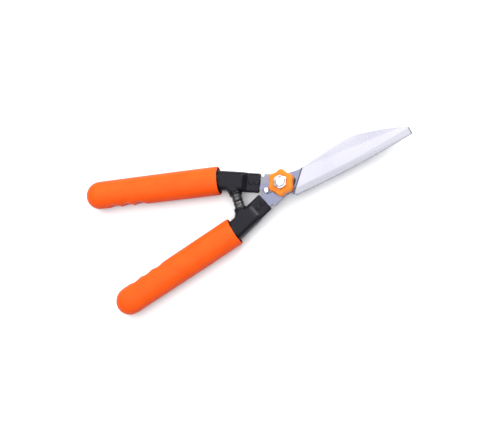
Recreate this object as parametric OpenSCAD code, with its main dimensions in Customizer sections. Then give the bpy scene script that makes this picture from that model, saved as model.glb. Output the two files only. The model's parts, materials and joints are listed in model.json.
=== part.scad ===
// Two-handed grass shears with tubular handles, lying flat and closed.
// The pivot axis is Z, the closed blades point along +X, and z = 0 is the bolt head's outer face.
// The upper handle (+Y) carries the rear blade, and the lower handle (-Y) carries the front one.

/* [Blades] */
// Distance from the pivot to the blade tips
blade_len = 184; // [170:1:225]
// Thickness of the blade steel
blade_t = 3.5; // [3:0.1:4.5]
// Distance from the pivot to the front cutting edge's line
front_edge = 21.5; // [20:0.5:25]
// Angle of the front cutting edge to the shears' axis when closed
front_tilt = 8; // [7:0.5:9]
// Distance from the pivot to the rear cutting edge's line
rear_edge = 12.5; // [11.5:0.5:15]
// Angle of the rear cutting edge to the shears' axis when closed
rear_tilt = 0; // [-1:0.5:2]
// Outward bow of the front cutting edge at mid length
edge_belly = 2.5; // [0.5:0.1:3]
// Outward bow of the rear cutting edge at mid length
rear_belly = 1; // [0:0.1:1.5]
// Width of the ground bevel behind each cutting edge
bevel_w = 8; // [5:0.5:10]
// Steel left at the thinnest point of each cutting edge
edge_t = 0.5; // [0.3:0.1:1]
// Distance from the tip to where the front blade's back starts to fall
crown_back = 89; // [80:1:100]
// Length of the rounded toe, back from the tip
toe_len = 43; // [35:1:50]
// Height of the front blade's back at the heel, above the pivot
heel_h = 8; // [6:0.5:9]
// Height of the front blade's back at the crown, above the pivot
crown_h = 14.2; // [12:0.1:18]
// Width of the rear blade at the heel, below the pivot
rear_heel_h = 17; // [14:0.5:18]
// Width of the rear blade's blunt tip
rear_tip_w = 8; // [6:0.5:10]
// Depth that the blades are ground back from their heels
grind_step = 0.5; // [0.2:0.1:0.8]
// Distance from the pivot to the grind line
grind_line = 18; // [17:0.5:22]

/* [Pivot] */
// Diameter of the pivot bolt's shank
bolt_d = 10; // [8:0.5:12]
// Diameter of the pivot bolt's flat head
head_d = 22; // [18:0.5:26]
// Thickness of the pivot bolt's head
head_t = 4; // [3:0.5:5]
// Radial clearance of the front blade on the bolt
pivot_gap = 0.05; // [0.02:0.01:0.09]
// Gap between faces that slide on each other
face_gap = 0.1; // [0.05:0.01:0.15]
// Thickness of the tab washer
tab_t = 1.2; // [1:0.1:2]
// Diameter of the tab washer
tab_d = 27; // [25:0.5:30]
// Diameter of the spring washer
spring_d = 19; // [17:0.5:23]
// Thickness of the spring washer's steel
spring_t = 0.9; // [0.6:0.1:1.2]
// Height that the spring washer is dished
spring_dish = 0.7; // [0.4:0.1:1]
// Gap between the knob's lobes and the lock screw's head
lock_gap = 2.25; // [1.5:0.25:3]
// Diameter of the lock screw's head
lock_head_d = 7.5; // [6:0.5:8]
// Height of the lock screw's head
lock_head_t = 2.2; // [1.5:0.1:2.5]
// Diameter of the lock screw's shank
lock_d = 4; // [3:0.5:4.5]
// Rim of steel round the lock screw's head
lock_rim = 1; // [0.5:0.25:1.5]

/* [Tension knob] */
// Diameter of the knob over its lobes
knob_d = 36; // [34:0.5:37]
// Height of the knob
knob_h = 14; // [11:0.5:16]
// Number of lobes
knob_lobes = 6; // [5:1:8]
// Radius of each lobe
lobe_r = 6.5; // [5:0.5:7]
// Diameter of the knob's body between the lobes
knob_body_d = 31.2; // [29:0.1:33]
// Angle that the knob is set at
knob_set = 10; // [0:1:59]
// Width across the cap nut's flats
nut_af = 17; // [16:0.5:19]
// Depth of the nut's pocket in the knob
nut_pocket = 6; // [5:0.5:8]
// Height of the nut's hexagon
nut_h = 9; // [8.5:0.5:12]
// Height of the nut's dome above its hexagon
dome_h = 4; // [3:0.5:5]

/* [Handles] */
// Angle of each handle's front part to the shears' axis
arm_angle = 24; // [22:0.5:26]
// Width of the handle's front part
arm_w = 27; // [24:0.5:28]
// Height of the tube where it is squeezed oval
arm_t = 19; // [17:0.5:21]
// Clearance of the upper handle's end behind the other blade's shoulder
upper_clear = 4.4; // [1:0.1:5]
// Clearance of the lower handle's end behind the other blade's shoulder
lower_clear = 4.4; // [3:0.1:5]
// Length of the slope from the flattened socket to the full tube
slope_len = 7; // [5:0.5:9]
// Wall of the handle tube
tube_wall = 1.6; // [1.2:0.1:2]
// Wall of the flattened socket above and below the tang
socket_wall = 2.1; // [1.8:0.1:2.5]
// Outer diameter of the tube inside the grip
tube_d = 23; // [20:0.5:25]
// Distance from the tube's end to the grip's closed end
butt_solid = 29; // [24:1:40]
// Distance that each handle stays clear of the shears' axis
axis_gap = 0.4; // [0.3:0.1:1]
// Width of the blade tang inside the socket
tang_w = 19; // [16:0.5:20]
// Length of the tang inside the lower handle
tang_len = 15.5; // [15:0.5:18]
// Distance from the pivot to the tang's shoulders
shoulder_x = 28.5; // [27:0.5:29]
// Diameter of the tang rivets
rivet_d = 4; // [3:0.5:5]
// Diameter of the tang rivets' heads
rivet_head_d = 7; // [6:0.5:8]
// Height of the tang rivets' heads
rivet_head_t = 1; // [0.8:0.1:1.5]
// Distance from the lower handle's end to the first rivet
rivet_in = 4.5; // [4.5:0.25:5.5]
// Spacing of the two rivets
rivet_pitch = 8; // [7.5:0.5:8.5]

/* [Grips] */
// Distance from the pivot to the grip's mouth
mouth_r = 91.5; // [88:0.5:100]
// Angle of each grip to the shears' axis
grip_angle = 13.6; // [11:0.1:15]
// Length of the grip
grip_len = 195; // [180:1:215]
// Thickness of the grip at its mouth, beside the handle
grip_side = 6.5; // [6.5:0.25:9]
// Thickness of the grip above and below the tube
grip_wall = 5; // [5:0.25:6]
// Width of the grip at its closed end
butt_w = 39; // [36:0.5:40]
// Radius of the grip's flattened top and bottom
grip_bow_r = 45; // [35:1:60]
// Distance from the mouth that the grip keeps its full width
grip_straight = 62; // [40:1:80]
// Wall of the grip's rim round the collar
rim_wall = 2.2; // [1.5:0.1:2.4]
// Depth of the collar below the rim
collar_in = 1.2; // [0.5:0.1:3]
// Length of the collar
collar_len = 8; // [5:0.5:12]
// Distance from the closed end to the first finger groove
groove_start = 41; // [38:1:45]
// Spacing of the finger grooves
groove_pitch = 19; // [17:0.5:22]
// Number of finger grooves
groove_count = 3; // [2:1:4]
// Depth of the finger grooves
groove_depth = 2.8; // [1:0.1:3]
// Radius of the finger grooves
groove_r = 15; // [12:0.5:18]
// Length of the plug in the tube's end
plug_len = 14; // [10:1:20]
// Thickness of the plug's flange
plug_flange = 2; // [1.5:0.5:3]

/* [Bumpers] */
// Distance from the slope's end to the bumpers' axis
bumper_back = 10; // [4:0.5:11]
// Diameter of each bumper
bumper_d = 14.5; // [12:0.5:15.5]
// Height of each bumper
bumper_h = 11.4; // [10.5:0.1:12]
// Diameter of the cup that holds each bumper
cup_d = 18; // [17:0.5:19]
// Depth that each bumper sits in its cup
cup_depth = 2; // [1:0.5:3]
// Thickness of each cup's floor
cup_floor = 1.5; // [1:0.25:2]
// Length of the boss that carries each cup
boss_len = 9; // [8:0.5:11]
// Diameter of the bumper screws
bscrew_d = 5; // [4:0.5:6]
// Diameter of the bumper screws' heads
bscrew_head_d = 8.5; // [7.5:0.5:9]
// Depth of the bumper screws' heads below the bumper's face
bscrew_sink = 2; // [1:0.5:3]
// Height of the bumper screws' heads
bscrew_head_t = 2.5; // [2:0.5:3]
// Length of the bumper screws
bscrew_len = 17; // [15:0.5:19]

/* [Hidden] */
$fn = 64;
eps = 0.5;
big = 400;
butt_steps = 12;

// Play between pieces that are fixed together, and the smaller steps and edges
hole_play = 0.05;
knob_play = 0.25;
spring_gap = 0.35;
neck_flat = 0.25;
neck_short = 0.3;
thread_in_dome = 1.2;
dome_step = 0.5;
lock_slot_w = 1;
lock_slot_depth = 1;
socket_end_gap = 1;
tube_start = 0.5;
bumper_edge = 1;
drive_share = 0.4;

// Levels along the pivot axis, from the bolt head up
rear_z = head_t;
front_z = rear_z + blade_t + face_gap;
tab_z = front_z + blade_t;
spring_z = tab_z + tab_t + face_gap;
knob_z = spring_z + spring_t + spring_dish;
nut_z = knob_z + knob_h - nut_pocket;
mid_z = rear_z + blade_t + face_gap / 2;
rear_tang_z = rear_z + blade_t / 2;
front_tang_z = front_z + blade_t / 2;

// The bolt's neck is keyed in the rear blade, and its thread ends inside the nut's dome
neck_w = bolt_d - 2 * neck_flat;
neck_t = blade_t - neck_short;
thread_end = nut_z + nut_h + thread_in_dome;
thread_bore = bolt_d + 2 * hole_play;
nut_corner_d = nut_af / cos(30);

// The lock screw stands clear of the knob, on an ear of the front blade
lock_x = knob_d / 2 + lock_gap + lock_head_d / 2;
ear_d = lock_head_d + 2 * lock_rim;

// The handles' ends stay behind the other blade's shoulder and the ear, and the rest follows them
shoulder_reach = shoulder_x * cos(2 * arm_angle) + arm_w / 2 * sin(2 * arm_angle);
ear_reach = lock_x * cos(arm_angle) + ear_d / 2;
clear_from = max(shoulder_x, shoulder_reach, ear_reach);
upper_start = clear_from + upper_clear;
lower_start = clear_from + lower_clear;
tang_end = lower_start + tang_len;
rivet_x = lower_start + rivet_in;
flat_end = tang_end + socket_end_gap;
full_start = flat_end + slope_len;
bumper_x = full_start + bumper_back;
socket_t = blade_t + 2 * socket_wall;

// The grip surrounds the handle and its tube, and the tube stops short of its closed end
mouth = [-mouth_r * cos(arm_angle), mouth_r * sin(arm_angle)];
grip_w = arm_w + 2 * grip_side;
grip_t = tube_d + 2 * grip_wall;
tube_len = grip_len - butt_solid;
bore_r = tube_d / 2 - tube_wall;

// The bumper sits in its cup, and the cup on its boss
cup_z = face_gap + bumper_h;
boss_z = cup_z + cup_floor;
bscrew_end = face_gap + bscrew_sink + bscrew_len;

// The round stretches of the front blade's back
heel_x = 28;
crown_x = blade_len - crown_back;
crown_r = 75;
crown_fall = 17;
crown_rise = atan((crown_h - heel_h) / (crown_x - heel_x));
toe_r = 250;
toe_fall = 25;

// The edges start at the heel's corner, and the grinding runs across the heel
edge_heel_x = 14;
heel_corner = 4;
bevel_start = 8;
grind_dir = 36;
pad_rim = 1;
pad_d = arm_w + 2 * pad_rim;
root_h = pad_d / 2 - 2 * pad_rim;

function arc_pts(centre, r, from, to, steps = 10) =
    [for (i = [0:steps]) let (a = from + (to - from) * i / steps)
        [centre.x + r * cos(a), centre.y + r * sin(a)]];

function bow(from, to, level, depth, steps = 24) =
    [for (i = [0:steps]) let (t = i / steps)
        [from + (to - from) * t, level + depth * 4 * t * (1 - t)]];

module along_arm() {
    rotate([0, 0, 180 - arm_angle])
        children();
}

module along_grip() {
    translate([mouth.x, mouth.y, mid_z])
        rotate([0, 0, 180 - grip_angle])
            children();
}

// Runs +Z of its children out along +Y, from the shears' axis
module on_bumper_axis() {
    translate([-bumper_x, 0, mid_z])
        rotate([-90, 0, 0])
            children();
}

// Runs +Z of its children back along the grip
module along_x() {
    rotate([0, 90, 0])
        children();
}

// ---- Blades ----

// The crown's arc, the straight fall after it, the toe's arc and the straight run to the tip
function crown_centre() = [crown_x + crown_r * sin(crown_rise), crown_h - crown_r * cos(crown_rise)];
function crown_end() = crown_centre() + crown_r * [sin(crown_fall), cos(crown_fall)];
function toe_shift() = max(0, blade_len - toe_len - crown_end().x);
function toe_start() = crown_end() + toe_shift() * [1, -tan(crown_fall)];
function toe_centre() = toe_start() - toe_r * [sin(crown_fall), cos(crown_fall)];
function toe_end() = toe_centre() + toe_r * [sin(toe_fall), cos(toe_fall)];
function tip_top() = [blade_len, toe_end().y - (blade_len - toe_end().x) * tan(toe_fall)];

module front_outline() {
    polygon(concat(
        [[0, -root_h], [edge_heel_x - heel_corner, -front_edge]],
        bow(edge_heel_x, blade_len, -front_edge, -edge_belly),
        [tip_top()],
        arc_pts(toe_centre(), toe_r, 90 - toe_fall, 90 - crown_fall),
        arc_pts(crown_centre(), crown_r, 90 - crown_fall, 90 + crown_rise),
        [[heel_x, heel_h], [0, root_h]]));
}

module rear_outline() {
    tip_y = rear_edge - rear_tip_w;
    polygon(concat(
        [[0, root_h], [edge_heel_x - heel_corner, rear_edge]],
        bow(edge_heel_x, blade_len, rear_edge, rear_belly),
        [[blade_len, tip_y], [heel_x, -rear_heel_h], [0, -root_h]]));
}

// Shoulders fill the handle's width, and the tang behind them is narrower
module tang_outline() {
    circle(d = pad_d);
    along_arm() {
        translate([0, -arm_w / 2])
            square([shoulder_x, arm_w]);
        translate([0, -tang_w / 2])
            square([tang_end, tang_w]);
    }
}

// The ear and the washer's tail, which the lock screw holds together
module lock_ear() {
    translate([-lock_x, -ear_d / 2])
        square([lock_x, ear_d]);
    translate([-lock_x, 0])
        circle(d = ear_d);
}

// A wedge over the cutting edge, which lies along y = -offset with the steel below z = t
module bevel_cut(offset_y, belly) {
    slope = atan((blade_t - grind_step - edge_t) / (bevel_w + belly));
    translate([bevel_start, -offset_y + bevel_w, blade_t - grind_step])
        rotate([slope, 0, 0])
            translate([0, -2 * bevel_w - belly, 0])
                cube([blade_len, 2 * bevel_w + belly, blade_t]);
}

// What the grinding takes off the face beyond the grind line
module grind_cut(dir) {
    rotate([0, 0, dir])
        translate([grind_line, -big / 2, blade_t - grind_step])
            cube([big, big, blade_t]);
}

module rivet_holes(play) {
    along_arm()
        for (i = [0:1])
            translate([rivet_x + i * rivet_pitch, 0, -big / 2])
                cylinder(d = rivet_d + 2 * play, h = big);
}

module front_blade() {
    color("gainsboro")
    difference() {
        translate([0, 0, front_z])
            difference() {
                union() {
                    linear_extrude(blade_t) {
                        mirror([0, 1])
                            tang_outline();
                        lock_ear();
                    }
                    rotate([0, 0, front_tilt])
                        linear_extrude(blade_t)
                            front_outline();
                }
                grind_cut(-grind_dir);
                rotate([0, 0, front_tilt])
                    bevel_cut(front_edge, edge_belly);
            }
        translate([0, 0, front_z - eps])
            cylinder(r = bolt_d / 2 + pivot_gap, h = blade_t + 2 * eps);
        translate([-lock_x, 0, front_z - eps])
            cylinder(d = lock_d + 2 * hole_play, h = blade_t + 2 * eps);
        mirror([0, 1, 0])
            rivet_holes(hole_play);
    }
}

// The rear blade is ground on its back, so its cuts are turned over
module rear_blade() {
    color("silver")
    difference() {
        translate([0, 0, rear_z])
            difference() {
                union() {
                    linear_extrude(blade_t)
                        tang_outline();
                    rotate([0, 0, -rear_tilt])
                        linear_extrude(blade_t)
                            rear_outline();
                }
                translate([0, 0, blade_t])
                    mirror([0, 0, 1])
                        grind_cut(grind_dir);
                rotate([0, 0, -rear_tilt])
                    translate([0, 0, blade_t])
                        mirror([0, 0, 1])
                            mirror([0, 1, 0])
                                bevel_cut(rear_edge, rear_belly);
            }
        translate([-neck_w / 2, -neck_w / 2, rear_z - eps])
            cube([neck_w, neck_w, blade_t + 2 * eps]);
        rivet_holes(hole_play);
    }
}

// ---- Pivot ----

module pivot_bolt() {
    color("slategray") {
        cylinder(d = head_d, h = head_t);
        translate([-neck_w / 2, -neck_w / 2, head_t])
            cube([neck_w, neck_w, neck_t]);
        intersection() {
            translate([0, 0, head_t])
                cylinder(d = bolt_d, h = thread_end - head_t);
            union() {
                translate([-neck_w / 2, -neck_w / 2, head_t])
                    cube([neck_w, neck_w, blade_t]);
                translate([-bolt_d, -bolt_d, front_z - face_gap])
                    cube([2 * bolt_d, 2 * bolt_d, big]);
            }
        }
    }
}

module tab_washer() {
    color("lightsteelblue")
    difference() {
        translate([0, 0, tab_z])
            linear_extrude(tab_t) {
                circle(d = tab_d);
                lock_ear();
            }
        translate([0, 0, tab_z - eps])
            cylinder(r = bolt_d / 2 + pivot_gap, h = tab_t + 2 * eps);
        translate([-lock_x, 0, tab_z - eps])
            cylinder(d = lock_d + 2 * hole_play, h = tab_t + 2 * eps);
    }
}

// A dished ring, high at its bore
module spring_washer() {
    inner = bolt_d / 2 + spring_gap;
    color("gray")
    rotate_extrude()
        polygon([[inner, spring_z + spring_dish], [spring_d / 2, spring_z],
            [spring_d / 2, spring_z + spring_t], [inner, spring_z + spring_dish + spring_t]]);
}

module lock_screw() {
    color("silver") {
        translate([-lock_x, 0, front_z])
            cylinder(d = lock_d, h = blade_t + tab_t);
        difference() {
            translate([-lock_x, 0, tab_z + tab_t])
                cylinder(d = lock_head_d, h = lock_head_t);
            translate([-lock_x - lock_head_d, -lock_slot_w / 2,
                tab_z + tab_t + lock_head_t - lock_slot_depth])
                cube([2 * lock_head_d, lock_slot_w, lock_slot_depth + eps]);
        }
    }
}

module knob_section() {
    circle(d = knob_body_d);
    for (i = [0:knob_lobes - 1])
        rotate(i * 360 / knob_lobes)
            translate([knob_d / 2 - lobe_r, 0])
                circle(r = lobe_r);
}

module tension_knob() {
    color("darkorange")
    translate([0, 0, knob_z])
        rotate([0, 0, knob_set])
            difference() {
                linear_extrude(knob_h)
                    knob_section();
                translate([0, 0, knob_h - nut_pocket])
                    cylinder(d = nut_corner_d, h = nut_pocket + eps, $fn = 6);
                translate([0, 0, -eps])
                    cylinder(r = bolt_d / 2 + knob_play, h = knob_h);
            }
}

module cap_nut() {
    dome_foot_r = nut_af / 2 - dome_step;
    dome_r = (dome_foot_r * dome_foot_r + dome_h * dome_h) / (2 * dome_h);
    color("whitesmoke")
    translate([0, 0, nut_z])
        difference() {
            union() {
                rotate([0, 0, knob_set])
                    cylinder(d = nut_corner_d, h = nut_h, $fn = 6);
                intersection() {
                    translate([0, 0, nut_h + dome_h - dome_r])
                        sphere(r = dome_r);
                    translate([0, 0, nut_h - eps])
                        cylinder(r = dome_foot_r, h = dome_h + 2 * eps);
                }
            }
            translate([0, 0, -eps])
                cylinder(d = thread_bore, h = thread_end - nut_z + 2 * eps);
        }
}

// ---- Handles, drawn for the upper side ----

// The handle's side view: a flat socket, a slope, and the squeezed tube
module side_view(start, tang_z, inset) {
    end = mouth_r + arm_w;
    flat_h = socket_t / 2 - inset;
    full_h = arm_t / 2 - inset;
    rotate([90, 0, 0])
        linear_extrude(big, center = true)
            polygon([[start, tang_z - flat_h], [flat_end + inset, tang_z - flat_h],
                [full_start + inset, mid_z - full_h], [end, mid_z - full_h],
                [end, mid_z + full_h], [full_start + inset, mid_z + full_h],
                [flat_end + inset, tang_z + flat_h], [start, tang_z + flat_h]]);
}

// The front part's solid, thinner all round by inset, up to the grip's mouth
module arm_body(start, tang_z, inset) {
    difference() {
        along_arm()
            intersection() {
                translate([start, -arm_w / 2 + inset, -big / 2])
                    cube([mouth_r + arm_w, arm_w - 2 * inset, big]);
                side_view(start, tang_z, inset);
            }
        along_grip()
            translate([tube_start + (inset > 0 ? eps : 0), -big / 2, -big / 2])
                cube([big, big, big]);
    }
}

module handle(start, tang_z) {
    difference() {
        union() {
            arm_body(start, tang_z, 0);
            on_bumper_axis()
                translate([0, 0, boss_z])
                    cylinder(d = cup_d, h = boss_len);
            along_grip()
                translate([tube_start, 0, 0])
                    along_x()
                        cylinder(d = tube_d, h = tube_len - tube_start);
        }
        arm_body(tang_end, tang_z, tube_wall);
        along_grip()
            translate([-tube_start, 0, 0])
                along_x()
                    cylinder(r = bore_r, h = tube_len + 2 * eps);
        along_arm()
            translate([start - eps, -tang_w / 2, tang_z - blade_t / 2])
                cube([tang_end - start + eps, tang_w, blade_t]);
        rivet_holes(hole_play);
        translate([-big, -big + axis_gap, -big / 2])
            cube([big, big, big]);
        on_bumper_axis()
            cylinder(d = cup_d, h = boss_z);
        on_bumper_axis()
            cylinder(d = bscrew_d + 2 * hole_play, h = bscrew_end + eps);
    }
}

// A pressed cup let into the tube's inner side
module bumper_cup() {
    on_bumper_axis()
        difference() {
            translate([0, 0, cup_z - cup_depth])
                cylinder(d = cup_d, h = cup_depth + cup_floor);
            translate([0, 0, cup_z - cup_depth - eps])
                cylinder(d = bumper_d, h = cup_depth + eps);
            cylinder(d = bscrew_d + 2 * hole_play, h = big);
        }
}

module bumper() {
    on_bumper_axis()
        difference() {
            rotate_extrude()
                polygon([[0, face_gap], [bumper_d / 2 - bumper_edge, face_gap],
                    [bumper_d / 2, face_gap + bumper_edge], [bumper_d / 2, cup_z], [0, cup_z]]);
            cylinder(d = bscrew_head_d + 2 * hole_play, h = face_gap + bscrew_sink + bscrew_head_t);
            cylinder(d = bscrew_d + 2 * hole_play, h = big);
        }
}

module bumper_screw() {
    drive_d = bscrew_head_d * drive_share;
    on_bumper_axis()
        translate([0, 0, face_gap + bscrew_sink])
            difference() {
                union() {
                    cylinder(d = bscrew_head_d, h = bscrew_head_t);
                    cylinder(d = bscrew_d, h = bscrew_len);
                }
                translate([0, 0, -eps])
                    cylinder(d = drive_d, h = bscrew_head_t / 2 + eps, $fn = 6);
            }
}

module tang_rivets(tang_z) {
    for (i = [0:1])
        along_arm()
            translate([rivet_x + i * rivet_pitch, 0, tang_z]) {
                cylinder(d = rivet_d, h = socket_t, center = true);
                for (side = [-1, 1])
                    translate([0, 0, side * (socket_t + rivet_head_t) / 2])
                        cylinder(d = rivet_head_d, h = rivet_head_t, center = true);
            }
}

// ---- Grips, drawn for the upper side ----

// The rim's opening: a round-ended slot that runs across the grip
module mouth_section() {
    r = grip_t / 2 - rim_wall;
    reach = (grip_w - grip_t) / 2;
    for (side = [-1, 1])
        translate([0, side * reach])
            circle(r = r);
    translate([-r, -reach])
        square([2 * r, 2 * reach]);
}

// A round tapered body with a round end, flattened a little above and below
module grip_shape() {
    intersection() {
        along_x()
            rotate_extrude()
                polygon(concat([[0, 0], [grip_w / 2, 0], [grip_w / 2, grip_straight]],
                    arc_pts([0, grip_len - butt_w / 2], butt_w / 2, 0, 90, butt_steps)));
        grip_bow(1);
        grip_bow(-1);
    }
}

module grip_bow(side) {
    translate([-eps, 0, side * (grip_t / 2 - grip_bow_r)])
        along_x()
            cylinder(r = grip_bow_r, h = grip_len + 2 * eps);
}

// Half the grip's width at a distance from its mouth, in its tapered part
function half_width(at) = grip_w / 2
    + (butt_w - grip_w) / 2 * (at - grip_straight) / (grip_len - butt_w / 2 - grip_straight);

module grip() {
    along_grip()
        difference() {
            grip_shape();
            translate([-eps, 0, 0])
                along_x()
                    linear_extrude(collar_in + collar_len + eps)
                        mouth_section();
            along_x()
                cylinder(d = tube_d, h = tube_len + plug_flange);
            for (i = [0:groove_count - 1]) {
                at = grip_len - groove_start - i * groove_pitch;
                translate([at, half_width(at) + groove_r - groove_depth, -big / 2])
                    cylinder(r = groove_r, h = big);
            }
        }
}

module collar() {
    along_grip()
        translate([collar_in, 0, 0])
            along_x()
                difference() {
                    linear_extrude(collar_len)
                        mouth_section();
                    translate([0, 0, -eps])
                        cylinder(d = tube_d, h = collar_len + 2 * eps);
                }
}

module end_plug() {
    along_grip()
        along_x() {
            translate([0, 0, tube_len - plug_len])
                cylinder(r = bore_r, h = plug_len);
            translate([0, 0, tube_len])
                cylinder(d = tube_d, h = plug_flange);
        }
}

// ---- The two sides ----

module lower_side() {
    mirror([0, 1, 0])
        children();
}

module upper_handle() { color("#2f2d33") handle(upper_start, rear_tang_z); }
module lower_handle() { color("#2f2d33") lower_side() handle(lower_start, front_tang_z); }
module upper_tang_rivets() { color("#3a383f") tang_rivets(rear_tang_z); }
module lower_tang_rivets() { color("#3a383f") lower_side() tang_rivets(front_tang_z); }
module upper_grip() { color("#ff6a1c") grip(); }
module lower_grip() { color("#ff6a1c") lower_side() grip(); }
module upper_collar() { color("#241f22") collar(); }
module lower_collar() { color("#241f22") lower_side() collar(); }
module upper_end_plug() { color("#202020") end_plug(); }
module lower_end_plug() { color("#202020") lower_side() end_plug(); }
module upper_bumper_cup() { color("#38363c") bumper_cup(); }
module lower_bumper_cup() { color("#38363c") lower_side() bumper_cup(); }
module upper_bumper() { color("#19181b") bumper(); }
module lower_bumper() { color("#19181b") lower_side() bumper(); }
module upper_bumper_screw() { color("silver") bumper_screw(); }
module lower_bumper_screw() { color("silver") lower_side() bumper_screw(); }

rear_blade();
front_blade();
pivot_bolt();
tab_washer();
spring_washer();
tension_knob();
cap_nut();
lock_screw();
upper_handle();
lower_handle();
upper_tang_rivets();
lower_tang_rivets();
upper_grip();
lower_grip();
upper_collar();
lower_collar();
upper_end_plug();
lower_end_plug();
upper_bumper_cup();
lower_bumper_cup();
upper_bumper();
lower_bumper();
upper_bumper_screw();
lower_bumper_screw();
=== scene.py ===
import json
import math

import bmesh
import bpy
from mathutils import Matrix, Vector

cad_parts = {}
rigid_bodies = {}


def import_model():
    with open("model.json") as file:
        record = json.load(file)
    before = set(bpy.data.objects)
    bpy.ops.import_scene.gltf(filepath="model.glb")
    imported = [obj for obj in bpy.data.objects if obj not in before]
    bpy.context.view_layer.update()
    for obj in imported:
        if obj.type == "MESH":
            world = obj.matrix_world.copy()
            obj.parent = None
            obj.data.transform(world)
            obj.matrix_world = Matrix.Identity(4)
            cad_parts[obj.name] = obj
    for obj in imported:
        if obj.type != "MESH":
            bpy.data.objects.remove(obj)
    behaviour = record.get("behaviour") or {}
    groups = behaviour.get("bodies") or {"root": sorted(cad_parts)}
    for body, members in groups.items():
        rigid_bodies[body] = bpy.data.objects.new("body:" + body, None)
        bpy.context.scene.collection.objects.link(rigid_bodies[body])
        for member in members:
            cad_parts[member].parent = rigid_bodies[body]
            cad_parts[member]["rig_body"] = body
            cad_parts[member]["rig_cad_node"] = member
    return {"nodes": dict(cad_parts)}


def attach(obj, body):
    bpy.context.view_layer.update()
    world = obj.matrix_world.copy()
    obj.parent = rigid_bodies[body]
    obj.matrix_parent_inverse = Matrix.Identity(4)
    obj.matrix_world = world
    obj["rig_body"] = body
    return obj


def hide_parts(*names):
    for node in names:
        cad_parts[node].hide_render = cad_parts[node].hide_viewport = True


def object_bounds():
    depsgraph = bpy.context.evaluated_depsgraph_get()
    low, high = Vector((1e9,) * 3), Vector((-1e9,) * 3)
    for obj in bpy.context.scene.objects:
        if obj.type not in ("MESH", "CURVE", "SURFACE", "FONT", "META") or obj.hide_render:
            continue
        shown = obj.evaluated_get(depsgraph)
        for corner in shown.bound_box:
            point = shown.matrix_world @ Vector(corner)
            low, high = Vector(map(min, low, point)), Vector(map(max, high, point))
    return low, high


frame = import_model()
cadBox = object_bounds()
nodes = frame["nodes"]
mm = 0.001
quarterTurn = math.radians(90)
# how far a cutter stands out of what it cuts
overcut = 5 * mm


# Selection and edit mode

def clearSelection():
    if bpy.context.mode != "OBJECT":
        bpy.ops.object.mode_set(mode="OBJECT")
    bpy.ops.object.select_all(action="DESELECT")


def choose(piece):
    clearSelection()
    piece.select_set(True)
    bpy.context.view_layer.objects.active = piece


def startEdit(piece):
    choose(piece)
    bpy.ops.object.mode_set(mode="EDIT")


def editAll(piece):
    startEdit(piece)
    bpy.ops.mesh.select_all(action="SELECT")


def endEdit():
    bpy.ops.object.mode_set(mode="OBJECT")


def pick(piece, kind, test):
    # kind is VERT, EDGE or FACE, and test says which of them are selected
    bpy.ops.mesh.select_mode(type=kind)
    bpy.ops.mesh.select_all(action="DESELECT")
    mesh = bmesh.from_edit_mesh(piece.data)
    parts = {"VERT": mesh.verts, "EDGE": mesh.edges, "FACE": mesh.faces}[kind]
    for part in parts:
        if test(part):
            part.select_set(True)
    mesh.select_flush_mode()
    bmesh.update_edit_mesh(piece.data)


# Shaping

def fixPlace():
    bpy.ops.object.transform_apply(location=True, rotation=True, scale=True)


def named(name):
    piece = bpy.context.object
    piece.name = name
    piece.data.name = name
    fixPlace()
    return piece


def setDown(piece, place):
    choose(piece)
    piece.matrix_world = place
    fixPlace()


def turnOutward(piece, gap=2e-6):
    editAll(piece)
    bpy.ops.mesh.remove_doubles(threshold=gap)
    bpy.ops.mesh.normals_make_consistent(inside=False)
    endEdit()


def useModifier(piece, kind, **settings):
    choose(piece)
    modifier = piece.modifiers.new(kind.title(), kind)
    for key, value in settings.items():
        setattr(modifier, key, value)
    bpy.ops.object.modifier_apply(modifier=modifier.name)


def combine(piece, tool, how):
    # how is UNION, DIFFERENCE or INTERSECT
    useModifier(piece, "BOOLEAN", object=tool, operation=how, solver="EXACT")
    bpy.data.objects.remove(tool)


def softenEdges(piece, width, angle=32):
    useModifier(piece, "BEVEL", width=width, segments=2, limit_method="ANGLE",
                angle_limit=math.radians(angle), use_clamp_overlap=False)


def shadeSmooth(piece, angle=38):
    choose(piece)
    bpy.ops.object.shade_smooth_by_angle(angle=math.radians(angle))


def startSection(name, corners, along, width, height, level):
    # a filled round section that stands across X, left selected in edit mode
    clearSelection()
    bpy.ops.mesh.primitive_circle_add(vertices=corners, radius=0.5, fill_type="NGON",
                                      location=(along, 0, level), rotation=(0, quarterTurn, 0))
    piece = named(name)
    startEdit(piece)
    bpy.ops.mesh.select_mode(type="FACE")
    bpy.ops.mesh.select_all(action="SELECT")
    bpy.ops.transform.resize(value=(1, width, height), center_override=(along, 0, level))
    return piece


def growSection(steps):
    # each step is a section's place along X, its width, height and level
    along, width, height, level = steps[0]
    for nextAlong, nextWidth, nextHeight, nextLevel in steps[1:]:
        move = (nextAlong - along, 0, nextLevel - level)
        bpy.ops.mesh.extrude_region_move(TRANSFORM_OT_translate={"value": move})
        bpy.ops.transform.resize(value=(1, nextWidth / width, nextHeight / height),
                                 center_override=(nextAlong, 0, nextLevel))
        along, width, height, level = nextAlong, nextWidth, nextHeight, nextLevel


def turnedPiece(name, profile, corners=48):
    # a round piece along X, from (place, diameter) pairs
    steps = [(along, width, width, 0.0) for along, width in profile]
    piece = startSection(name, corners, *steps[0])
    growSection(steps)
    endEdit()
    turnOutward(piece)
    return piece


def roundBar(name, start, length, diameter, place, corners=64):
    clearSelection()
    bpy.ops.mesh.primitive_cylinder_add(vertices=corners, radius=diameter / 2, depth=length,
                                        location=(start + length / 2, 0, 0),
                                        rotation=(0, quarterTurn, 0))
    bar = named(name)
    setDown(bar, place)
    return bar


def uprightBar(name, corners, radius, bottom, top, turn=0.0):
    clearSelection()
    bpy.ops.mesh.primitive_cylinder_add(vertices=corners, radius=radius, depth=top - bottom,
                                        location=(0, 0, (bottom + top) / 2),
                                        rotation=(0, 0, turn))
    return named(name)


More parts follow.
